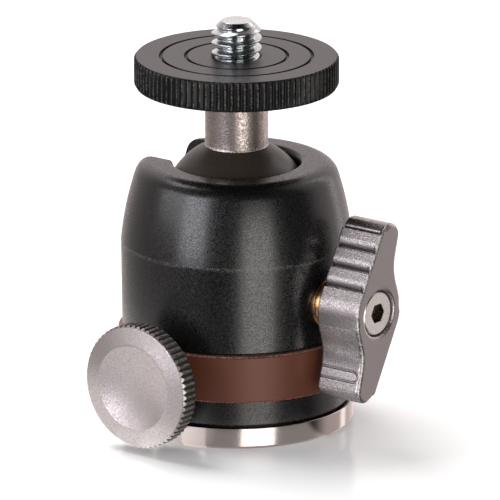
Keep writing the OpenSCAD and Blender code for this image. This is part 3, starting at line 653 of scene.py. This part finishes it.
class BALLHEAD_OT_rings(bpy.types.Operator):
    """Accent band, lower collar and base disc: turned rings, each with fine edges."""

    bl_idname = "ballhead.rings"
    bl_label = "Band, Collar and Base"

    def execute(self, context):
        z0, z1 = BOX["accent_band"][:, 2]
        bore, r = 13.56, BOX["accent_band"][1, 0] - 0.003
        band = fillet([(bore, z0, 0), (bore, z1, 0.02), (r - 0.2, z1, 0.06), (r, z1 - 0.2, 0.08),
                       (r, z0 + 0.2, 0.08), (r - 0.2, z0, 0.06), (bore, z0, 0)], 12)
        ring = turned("Accent_band", finer(band, 1.0), 256)
        middle, half = (z0 + z1) / 2, (z1 - z0) / 2
        # paler edges: wear, and a painted highlight along each edge's rounding
        wear_and_highlight(ring, lambda p: (np.abs(p[:, 2] - middle) - half + 0.12) / 0.1)
        place(ring, "housing", "band", "accent_band")
        z0, z1, (_, _, top) = BOX["lower_collar"][0, 2], z0, BOX["lower_collar"][1]
        bore, r, neck_r, room_r, room_z = 8.02, BOX["lower_collar"][1, 0], 11.99, 11.4, 11.0
        collar = fillet([(bore, z0, 0), (r - 0.08, z0, 0.03), (r, z0 + 0.08, 0.03), (r, z1, 0.02),
                         (neck_r, z1, 0.02), (neck_r, top, 0.1), (room_r, top, 0.1),
                         (room_r, room_z, 0.02), (bore, room_z, 0.02), (bore, z0, 0)], 12)
        neck = turned("Lower_collar", finer(collar, 1.0), 256)
        # painted highlight: a reddish line on the collar's lower corner, just above the base
        wear_and_highlight(neck, lambda p: (z0 + 0.1 - p[:, 2]) / 0.05 * (np.hypot(p[:, 0], p[:, 1]) > r - 0.15))
        place(neck, "housing", "collar", "lower_collar")
        # the 3/8 inch thread, 16 turns to the inch, is cut in a wave along its helix
        count, pitch, thread_r, deep, end_z = 224, 1.5875, 4.7625, 0.62, 7.5
        z = np.arange(end_z, 0.3, -0.1)[:, None]
        angle = (np.arange(count) / count)[None, :]
        thread = thread_r - deep * np.clip(zigzag(z / pitch - angle), 0.1, 0.9)
        base_r, plate_z, groove_z, clip_z, top = 14.87, 2.75, 8.8, 11.5, BOX["base_plate"][1, 2]
        outer = finer(fillet([
            (5.2, 0, 0), (base_r - 0.35, 0, 0.1), (base_r, 0.35, 0.12), (base_r, 2.69, 0.03),
            (base_r - 0.06, plate_z, 0.03), (SPIGOT_R, plate_z, 0.05), (SPIGOT_R, 8.0, 0.02),
            (7.15, groove_z, 0.05), (SPIGOT_R, 9.6, 0.02), (SPIGOT_R, clip_z, 0.02),
            (7.36, clip_z, 0.02), (7.36, 12.3, 0.02), (SPIGOT_R, 12.3, 0.02),
            (SPIGOT_R, top - 0.3, 0.05), (7.66, top, 0.05), (0, top, 0)], 12), 0.9)
        radii = stacked(count, [[0], [4.1]], thread, [[5.17]], outer[:, :1])
        rows = np.r_[end_z, end_z, z[:, 0], 0.02, outer[:, 1]]
        base = carried("Base_disc", radii, rows[:, None], count)
        place(base, "base", "polish", "base_plate")
        return {"FINISHED"}


class BALLHEAD_OT_knob(bpy.types.Operator):
    """Pan knob: a dished, coned face with a chamfer that cuts across the teeth."""

    bl_idname = "ballhead.knob"
    bl_label = "Pan Knob"

    def execute(self, context):
        size = context.scene.ball_head_sizes
        top, r = -BOX["pan_knob"][0, 1], BOX["pan_knob"][1, 0]
        edge, rim, hub, end = top - 0.6, top - 3.3, top - 5.6, top - 2.2
        hub_r, screw_r, dish_r, dish_d, peak = 4.6, 2.0, 5.5, 0.95, top - 0.012
        bevel = size.knob_tooth / MM
        slope = 0.48 / (r - bevel - dish_r)
        sphere = (dish_r ** 2 + dish_d ** 2) / (2 * dish_d)
        t = np.linspace(0, dish_r - 0.08, 16)
        dish = np.c_[t, top - dish_d + sphere - np.sqrt(sphere ** 2 - t ** 2)]
        cone = np.r_[5.47, 5.53, 5.7, 6.6, np.linspace(7.3, r + 0.02, 16)]
        cone = np.c_[cone, np.full(len(cone), peak)]
        back = fillet([(r + 0.02, rim + 0.6, 0), (r - 0.5, rim, 0.1), (hub_r, rim, 0.25),
                       (hub_r, hub, 0.15), (screw_r, hub, 0.02), (screw_r, end, 0), (0, end, 0)],
                      12)
        profile = np.r_[dish, cone, [[r + 0.02, edge - 0.5], [r + 0.02, edge - 1.4]],
                        finer(back, 1.0)]
        radius, count = knurled(profile[:, 0], size.knob_pitch / MM, size.knob_tooth / MM,
                                outer=r, per_tooth=12, land=0.1, curve=1.7)
        height = np.broadcast_to(profile[:, 1:], radius.shape).copy()
        # the cone falls from the dish's rim, and falls steeper across the teeth
        on_cone = slice(len(dish) + 2, len(dish) + len(cone))
        height[on_cone] = top - slope * (radius[on_cone] - dish_r) - 0.95 * np.maximum(
            0, radius[on_cone] - (r - bevel))
        knob = carried("Pan_knob", radius, height, count, "pan")
        place(knob, "knob", "knob silver", "pan_knob")
        split(knob, lambda at, normal: (-normal[:, 1] > 0.6) & (-at[:, 1] > edge - 0.5))
        wear_and_highlight(knob, lambda p: 0.5 * (np.hypot(p[:, 0], p[:, 2] - PAN_Z) - r + 0.12) / 0.1)
        return {"FINISHED"}


def lever_outline(waist, points=1300):
    """The lever's outline as points (x, y), evenly spaced.

    A wing is the hull of three circles less one large circle. The hull's distance from the hub in
    a direction is the least of support / cosine over all directions of its supporting lines, and
    the hollow's is the ray's first meeting with its circle. The other wing is the same, half a
    turn round. The hollows then go deeper by waist times a squared cosine along the wing, which
    is 1 at middle and 0 at half a stretch to either side.
    """
    steps, blur, middle, half = 2880, 0.15, -5.3, 3.4
    aim = np.arange(steps) / steps * TURN
    way = np.c_[np.cos(aim), np.sin(aim)]
    support = np.max([way @ np.array(c[:2]) + c[2] for c in (HUB, TIP, HEEL)], axis=0)
    lean = np.cos(aim[:, None] - aim[None, :])
    reach = np.where(lean > 0.02, support[:, None] / np.maximum(lean, 0.02), 1e3).min(0)
    along = way @ np.array(HOLLOW[:2])
    under = along ** 2 - (HOLLOW[0] ** 2 + HOLLOW[1] ** 2 - HOLLOW[2] ** 2)
    first = np.where((under > 0) & (along > 0), along - np.sqrt(np.maximum(under, 0)), 1e3)
    wing = np.minimum(reach, first)
    line = way * np.maximum(wing, np.roll(wing, steps // 2))[:, None]
    gap = np.linalg.norm(np.roll(line, -1, 0) - line, axis=1)
    walk = np.r_[0, np.cumsum(gap)]
    at = np.linspace(0, walk[-1], points, endpoint=False)
    closed = np.r_[line, line[:1]]
    line = np.stack([np.interp(at, walk, closed[:, i]) for i in (0, 1)], -1)
    # its corners are blurred a little, as a blasted edge is
    step = walk[-1] / points
    reach = round(3 * blur / step)
    weight = np.exp(-0.5 * (np.arange(-reach, reach + 1) * step / blur) ** 2)
    weight /= weight.sum()
    line = sum(w * np.roll(line, k - reach, 0) for k, w in enumerate(weight))
    for turn in (1, -1):
        sway = np.clip((line[:, 1] * turn - middle) / half, -1, 1)
        deeper = waist * np.cos(math.pi / 2 * sway) ** 2
        line[:, 0] -= np.where(line[:, 0] * turn > 1, turn * deeper, 0)
    return line


class BALLHEAD_OT_lever(bpy.types.Operator):
    """Lock lever: its outline is carried through its thickness, cut in by the finger grooves."""

    bl_idname = "ballhead.lever"
    bl_label = "Lock Lever"

    def execute(self, context):
        size = context.scene.ball_head_sizes
        line = lever_outline(size.waist_depth / MM)
        ahead = np.roll(line, -1, 0) - np.roll(line, 1, 0)
        ahead /= np.linalg.norm(ahead, axis=1, keepdims=True)
        out = np.c_[ahead[:, 1], -ahead[:, 0]]
        # the straight side starts where it touches the hub, and runs toward the tip
        heel, rise = np.array(HEEL[:2]), HUB[2] - HEEL[2]
        lean = math.atan2(heel[1], heel[0]) - math.acos(rise / np.linalg.norm(heel))
        normal = np.array([math.cos(lean), math.sin(lean)])
        run = np.array([-normal[1], normal[0]])
        straight = math.sqrt(heel @ heel - rise ** 2)
        # each groove starts at a steep wall and rolls out toward the tip; lines_at is the middle
        # of the two fine lines in the hollow, from the hub
        grooves, pitch, width, wall, roll_w, lines_at = 4, 2.6, 1.5, 0.12, 1.25, 7.65
        depths, lines = [], []
        for turn in (1, -1):
            u = line @ run * turn
            on = (out @ normal * turn > 0.8) & (line @ normal * turn > rise)
            cut = np.zeros(len(line))
            for i in range(grooves):
                t = u - (straight - 0.05 - i * pitch)
                steep = np.clip(t / wall, 0, 1)
                roll = np.clip((width - t) / roll_w, 0, 1)
                roll = 1 - np.sqrt(np.clip(1 - roll ** 2, 0, 1))
                here = np.where(t < width - roll_w, steep, roll) * (t > 0) * (t < width)
                cut = np.maximum(cut, np.where(on, here, 0))
            depths.append(cut)
            hollow = (line[:, 0] * turn > 1) & (line[:, 1] * turn < -5) & (
                out[:, 0] * turn > 0.5)
            lines.append(np.where(hollow, line[:, 1] * turn + lines_at, 99.0))
        cut = np.maximum(*depths)
        thick = LEVER_OUT - LEVER_IN
        down = np.r_[np.linspace(0.52, 1.7, 20), np.linspace(1.85, thick - 0.5, 16),
                     np.linspace(thick - 0.4, thick - 0.2, 3)]
        fade = np.clip((down - 0.5) / 0.35, 0, 1)[:, None]
        fade = np.sqrt(np.clip(1 - (1 - fade) ** 2, 0, 1))
        inset = size.rib_depth / MM * cut[None, :] * fade
        for v in lines:
            away = np.hypot(v[None, :], np.maximum(0, 1.25 - down)[:, None]) - 0.65
            inset = inset + size.line_depth / MM * np.exp(-(away / 0.11) ** 2)
        side = line[None] - out[None] * inset[..., None]
        rows, levels = [], []
        turn_of = np.arctan2(line[:, 1], line[:, 0])
        ring = lambda r: r * np.c_[np.cos(turn_of), np.sin(turn_of)]

        def lay(points, depth):
            """Adds a row of points at that depth below the flat face."""
            rows.append(points)
            levels.append(np.broadcast_to(depth, len(line)))

        # the screw's hole and its sunk seat, with a small chamfer
        hole_r, seat_r, rim_r, seat = 1.5, 3.0, 3.28, 2.6
        for r, depth in ((hole_r, thick), (hole_r, seat), (seat_r, seat), (seat_r, 2.52),
                         (seat_r, 0.26), (3.08, 0.12), (rim_r, 0.0)):
            lay(ring(r), depth)
        for t in (0.1, 0.4, 0.7, 0.93):
            lay(ring(rim_r) * (1 - t) + (line - out * 0.57) * t, 0.0)
        # a quarter round between the flat face and the side, narrower beside the grooves, with
        # the change from one width to the other blurred along the outline
        ribbed = np.max([(out @ normal * turn > 0.9) & (line @ normal * turn > 3.0)
                         for turn in (1, -1)], axis=0).astype(float)
        blur = np.exp(-0.5 * (np.arange(-12, 13) / 5) ** 2)
        ribbed = np.convolve(np.pad(ribbed, 12, mode="wrap"), blur / blur.sum(), mode="valid")
        edge = 0.5 - 0.28 * ribbed[:, None]
        for bend in np.radians([0, 15, 30, 45, 60, 75]):
            lay(line - out * edge * (1 - np.sin(bend)), edge[:, 0] * (1 - np.cos(bend)))
        for points, depth in zip(side, down):
            lay(points, depth)
        for inset_by, depth in ((0.03, 0.1), (0.08, 0.04), (0.16, 0.0)):
            lay(side[-1] - out * inset_by, thick - depth)
        for t in (0.9, 0.5, 0.2):
            lay(ring(seat_r) * (1 - t) + (side[-1] - out * 0.3) * t, thick)
        lay(ring(hole_r), thick)
        flat, level = np.stack(rows), np.stack(levels)
        points = np.stack([LEVER_OUT - level, -flat[..., 0], LOCK_Z + flat[..., 1]], -1)
        lever = new_piece("Lock_lever", points.reshape(-1, 3), grid_faces(len(rows), len(line)))
        place(lever, "lever", "lever flat", "lock_lever")
        split(lever, lambda at, _: at[:, 0] > LEVER_OUT - 0.004)
        # painted highlight: bright specks along the rounded edge next to the flat face, with some
        # wear
        wear_and_highlight(lever, lambda p: 1.5 * (1 - np.abs(LEVER_OUT - 0.2 - p[:, 0]) / 0.24))
        self.screw()
        self.bush()
        return {"FINISHED"}

    def bush(self):
        """The brass bush, turned down to two small beads. Next to the housing it takes the black
        body finish: painted shade, where the bush lies in the lever's shadow.
        """
        low, high = BOX["lock_bush"][:, 0]
        bore, neck_r, bead_r, boss = 3.05, 3.1, 3.25, 14.4
        profile = fillet([(bore, low, 0), (3.8, low, 0.05), (3.8, 13.9, 0.05), (3.3, 14.1, 0.05),
                          (3.3, boss, 0.02), (neck_r, boss + 0.05, 0.02), (bead_r, 14.66, 0.12),
                          (neck_r, 14.88, 0.05), (bead_r, 15.1, 0.12),
                          (neck_r, high - 0.1, 0.05), (bore, high, 0), (bore, low, 0)], 12)
        bush = turned("Lock_bush", profile, 96, "lock")
        place(bush, "housing", "body brass", "lock_bush")
        # painted shade: the brass next to the housing takes the black body finish
        split(bush, lambda at, _: at[:, 0] > boss + 0.03)

    def screw(self):
        """The lever's screw: a hexagon's distance from its middle is half its width over the
        cosine of the angle from the nearest side's middle."""
        count, head_r, shank_r, end = 144, 2.8, 1.5, BOX["lever_screw"][0, 0]
        angle = np.arange(count) / count * TURN
        hexagon = 1.12 / np.cos((angle + math.pi / 6) % (math.pi / 3) - math.pi / 6)
        seat, top = LEVER_OUT - 2.6, LEVER_OUT - 0.25
        # the socket, as shares of the hexagon and depths below the head's top
        share = np.array([0.0, 0.5, 0.97, 1.0, 1.0, 1.04, 1.08])
        depth = np.array([1.45, 1.42, 1.4, 1.35, 0.1, 0.02, 0.0])
        rest = fillet([(1.75, top, 0), (head_r - 0.15, top, 0.06), (head_r, top - 0.15, 0.06),
                       (head_r, seat, 0.05), (shank_r, seat, 0.02), (shank_r, end, 0.1),
                       (0, end, 0)], 12)
        radii = stacked(count, hexagon * share[:, None], rest[:, :1])
        heights = np.r_[top - depth, rest[:, 1]]
        screw = carried("Lever_screw", radii, heights[:, None], count, "lock")
        place(screw, "lever", "head socket", "lever_screw")
        split(screw, lambda at, _: (at[:, 0] > top - 1.5) & (at[:, 0] < top - 0.03)
              & (np.hypot(at[:, 1], at[:, 2] - LOCK_Z) < 1.5))


class BALLHEAD_OT_inside(bpy.types.Operator):
    """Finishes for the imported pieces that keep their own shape."""

    bl_idname = "ballhead.inside"
    bl_label = "Inner Parts"

    def execute(self, context):
        use = {
            "spring": ["retaining_ring"],
            "steel": ["spring_plate", "disc_springs", "pan_bush", "pan_screw", "lock_screw",
                      "thrust_pin"],
            "brass": ["pressure_cup"],
            "acetal": ["lower_seat", "brake_pad"],
            "black_acetal": ["upper_seat", "pan_washer_lower", "pan_washer_upper",
                             "lever_washer"],
        }
        for kind, names in use.items():
            for name in names:
                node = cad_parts[name]
                node.data.materials.clear()
                node.data.materials.append(finishes()[kind])
        return {"FINISHED"}


# Stage


CAMERA_TURN, CAMERA_RISE = math.radians(37.5), math.radians(16.6)
SKY_LIGHT, FLOOR_GLOW, KEY_LIGHT = 0.42, 0.145, 10.5
VIOLET, PLAIN, WARM, PINK = (0.96, 0.93, 1.0), (1, 1, 1), (1.0, 0.97, 0.93), (1.0, 0.89, 0.88)
# Degrees round from the camera to the right, level and tone of what metal sees there
SURROUNDINGS = [
    (0, 0.02, PLAIN), (50, 0.02, PLAIN), (84, 0.04, PLAIN), (100, 0.62, PINK), (135, 0.66, PINK),
    (165, 1.0, PINK), (195, 1.0, PINK), (225, 0.5, PINK), (250, 0.3, PINK), (292, 0.18, PINK),
    (306, 0.04, PLAIN), (345, 0.02, PLAIN), (360, 0.02, PLAIN),
]
# Name, middle's turn and rise, width and height in degrees, light, tone; all as far away
LAMPS_AWAY = 0.6
LAMPS = [
    ("Left_strip", -45, 12, 26, 34, 3.6, VIOLET),
    ("Left_fill", -75, 18, 30, 26, 1.55, PLAIN),
    ("Right_box", 21, -8, 32, 43, 2.6, WARM),
    ("Rim_strip", 130, 12, 12, 70, 1.1, PLAIN),
    ("High_box", -130, 62, 24, 24, 3.0, PLAIN),
]


def toward(turn, rise):
    """The direction from the object at that many degrees right of the camera, and above."""
    turn, rise = CAMERA_TURN + math.radians(turn), math.radians(rise)
    flat = math.cos(rise)
    return Vector((flat * math.sin(turn), -flat * math.cos(turn), math.sin(rise)))


def lamp(name, turn, rise, width, height, light, colour):
    """A soft box of that angular width and height in degrees, seen from the object.

    Its power is its area times pi times light, so that it looks as bright as light says.
    """
    data = bpy.data.lights.new(name, "AREA")
    data.shape = "RECTANGLE"
    data.size = 2 * LAMPS_AWAY * math.tan(math.radians(width / 2))
    data.size_y = 2 * LAMPS_AWAY * math.tan(math.radians(height / 2))
    data.energy = light * math.pi * data.size * data.size_y
    data.color = colour
    box = bpy.data.objects.new(name, data)
    way = toward(turn, rise)
    box.location = Vector((0, 0, 0.024)) + way * LAMPS_AWAY
    box.rotation_mode = "QUATERNION"
    box.rotation_quaternion = way.to_track_quat("Z", "Y")
    box.visible_camera = False
    bpy.context.scene.collection.objects.link(box)
    return box


class BALLHEAD_OT_stage(bpy.types.Operator):
    """Floor, camera, soft lamps and surroundings."""

    bl_idname = "ballhead.stage"
    bl_label = "Stage"

    def execute(self, context):
        scene = context.scene
        mesh = bpy.data.meshes.new("Floor")
        mesh.from_pydata([(-3, -3, 0), (3, -3, 0), (3, 3, 0), (-3, 3, 0)], [], [(0, 1, 2, 3)])
        floor = bpy.data.objects.new("Floor", mesh)
        scene.collection.objects.link(floor)
        floor.visible_shadow = False
        material = bpy.data.materials.new("White_sweep")
        material.use_nodes = True
        tree = material.node_tree
        shader = tree.nodes["Principled BSDF"]
        shader.inputs["Base Color"].default_value = (0.9, 0.9, 0.9, 1)
        shader.inputs["Roughness"].default_value = 0.14
        shader.inputs["Specular IOR Level"].default_value = 0.5
        path = add(tree, "LightPath")
        # the camera sees the lit floor and a plain glow that brings it up to white
        glow = add(tree, "Emission", {"Strength": FLOOR_GLOW})
        seen = add(tree, "AddShader", {0: shader.outputs[0], 1: glow.outputs[0]})
        seen = add(tree, "MixShader", {0: path.outputs["Is Camera Ray"], 1: shader.outputs[0],
                                       2: seen.outputs[0]})
        # painted reflections: to glossy rays the floor glows, standing for the lit floor that
        # metal sees close by in front, wider where the left lamps reach it, and in a narrow sector
        # from the base's front toward the knob
        spot = add(tree, "TexCoord").outputs["Object"]
        away = add(tree, "VectorMath", {0: spot}, operation="LENGTH").outputs["Value"]

        def sector(origin, turn, low, high):
            """1 where the way from the origin is near that many degrees round, by its cosine."""
            way = add(tree, "VectorMath", {0: spot, 1: origin}, operation="SUBTRACT").outputs[0]
            way = add(tree, "VectorMath", {0: way}, operation="NORMALIZE").outputs[0]
            near = add(tree, "VectorMath", {0: way, 1: tuple(toward(turn, 0))},
                       operation="DOT_PRODUCT").outputs["Value"]
            return ramp(tree, near, low, high)

        # each has its sector, the metres from the axis between which it fades, and its light
        total = None
        for share, inner, outer, light in (
                (sector((0, 0, 0), 0, 0.60, 0.66), 0.022, 0.028, 0.36),
                (sector((0, 0, 0), -85, 0.3, 0.8), 0.045, 0.06, 0.9),
                (sector((0.00486, -0.00749, 0), -43.5, 0.973, 0.979), 0.026, 0.032, 0.5)):
            level = ramp(tree, away, inner, outer, light, 0.0)
            total = maths(tree, "MULTIPLY_ADD", share, level, total or 0.0)
        # painted reflection: a glow on the floor that only glossy rays see
        painted_reflection_glow = add(tree, "Emission", {"Strength": total})
        clear = add(tree, "BsdfTransparent")
        mirror = add(tree, "AddShader", {0: painted_reflection_glow.outputs[0], 1: clear.outputs[0]})
        both = add(tree, "MixShader", {0: path.outputs["Is Glossy Ray"], 1: seen.outputs[0],
                                       2: mirror.outputs[0]})
        tree.links.new(both.outputs[0], tree.nodes["Material Output"].inputs["Surface"])
        mesh.materials.append(material)
        self.world(scene)
        self.lamps()

        camera = bpy.data.objects.new("Camera", bpy.data.cameras.new("Camera"))
        scene.collection.objects.link(camera)
        scene.camera = camera
        camera.data.sensor_width, camera.data.lens = 36, 900
        camera.data.clip_start, camera.data.clip_end = 0.1, 10
        # the picture is 63.54 mm wide at the object
        half = math.atan(camera.data.sensor_width / 2 / camera.data.lens)
        back = toward(0, math.degrees(CAMERA_RISE))
        aim = Vector((0.00135, 0.001035, 0.0219))
        camera.location = aim + back * (0.03177 / math.tan(half))
        camera.rotation_mode = "QUATERNION"
        camera.rotation_quaternion = back.to_track_quat("Z", "Y")
        scene.view_settings.view_transform = "Standard"
        return {"FINISHED"}

    def world(self, scene):
        """Surroundings: plain for diffuse light, white to the camera, and for metal a ring of
        grey levels round the object, from its direction's angle: dark behind the camera, paler
        at the sides, palest at the back, and dark overhead."""
        world = bpy.data.worlds.new("Studio")
        scene.world = world
        world.use_nodes = True
        world.cycles.sampling_method = "NONE"
        tree = world.node_tree
        way = add(tree, "TexCoord").outputs["Generated"]
        axes = add(tree, "SeparateXYZ", {0: way}).outputs
        turn = maths(tree, "ARCTAN2", axes[0], maths(tree, "MULTIPLY", axes[1], -1.0))
        turn = maths(tree, "MULTIPLY_ADD", turn, 1 / TURN, 1 - CAMERA_TURN / TURN)
        ring = add(tree, "ValToRGB", {0: maths(tree, "FRACT", turn)})
        marks = ring.color_ramp.elements
        for _ in range(len(SURROUNDINGS) - 2):
            marks.new(0.5)
        for mark, (at, level, tone) in zip(marks, SURROUNDINGS):
            mark.position = at / 360
            mark.color = (*[level * t for t in tone], 1)
        high = ramp(tree, axes[2], 0.62, 0.95, 1.0, 0.12, interpolation_type="SMOOTHSTEP")
        low = ramp(tree, axes[2], -0.75, -0.4, 0.15, 1.0)
        level = maths(tree, "MULTIPLY", high, low)
        path = add(tree, "LightPath")
        plain = add(tree, "Background", {"Color": (1, 1, 1, 1), "Strength": SKY_LIGHT})
        white = add(tree, "Background", {"Color": (1, 1, 1, 1), "Strength": 1.0})
        seen = add(tree, "Background", {"Color": ring.outputs[0], "Strength": level})
        mirror = maths(tree, "MAXIMUM", path.outputs["Is Glossy Ray"],
                       path.outputs["Is Transmission Ray"])
        mix = add(tree, "MixShader", {0: mirror, 1: plain.outputs[0], 2: seen.outputs[0]})
        mix = add(tree, "MixShader", {0: path.outputs["Is Camera Ray"], 1: mix.outputs[0],
                                      2: white.outputs[0]})
        tree.links.new(mix.outputs[0], tree.nodes["World Output"].inputs["Surface"])

    def lamps(self):
        """Soft boxes. Those below the horizon stand for the lamps' own shine on the floor."""
        for row in LAMPS:
            lamp(*row)
        key = lamp("Key_over_left", -136, 62, 30, 30, KEY_LIGHT, PLAIN)
        key.visible_glossy = False


class BALLHEAD_PT_panel(bpy.types.Panel):
    """Lists the ball head's sizes, colours and steps."""

    bl_idname = "BALLHEAD_PT_panel"
    bl_label = "Ball Head"
    bl_space_type = "VIEW_3D"
    bl_region_type = "UI"
    bl_category = "Ball Head"

    def draw(self, context):
        for group in (context.scene.ball_head_sizes, context.scene.ball_head_colours):
            for name in group.__annotations__:
                self.layout.prop(group, name)
        for step in STEPS:
            self.layout.operator(step.bl_idname)


STEPS = (
    BALLHEAD_OT_inside, BALLHEAD_OT_stud, BALLHEAD_OT_disc, BALLHEAD_OT_ball,
    BALLHEAD_OT_housing, BALLHEAD_OT_rings, BALLHEAD_OT_knob, BALLHEAD_OT_lever,
    BALLHEAD_OT_stage,
)
CLASSES = (HeadSizes, HeadColours, *STEPS, BALLHEAD_PT_panel)


def register():
    """Adds the classes and the two property groups."""
    for kind in CLASSES:
        bpy.utils.register_class(kind)
    bpy.types.Scene.ball_head_sizes = bpy.props.PointerProperty(type=HeadSizes)
    bpy.types.Scene.ball_head_colours = bpy.props.PointerProperty(type=HeadColours)


def unregister():
    """Takes the classes and the two property groups out again."""
    del bpy.types.Scene.ball_head_sizes
    del bpy.types.Scene.ball_head_colours
    for kind in reversed(CLASSES):
        bpy.utils.unregister_class(kind)


def main():
    """Builds every piece and the stage."""
    register()
    bpy.ops.ballhead.inside()
    bpy.ops.ballhead.stud()
    bpy.ops.ballhead.disc()
    bpy.ops.ballhead.ball()
    bpy.ops.ballhead.housing()
    bpy.ops.ballhead.rings()
    bpy.ops.ballhead.knob()
    bpy.ops.ballhead.lever()
    bpy.ops.ballhead.stage()


if __name__ == "__main__":
    main()
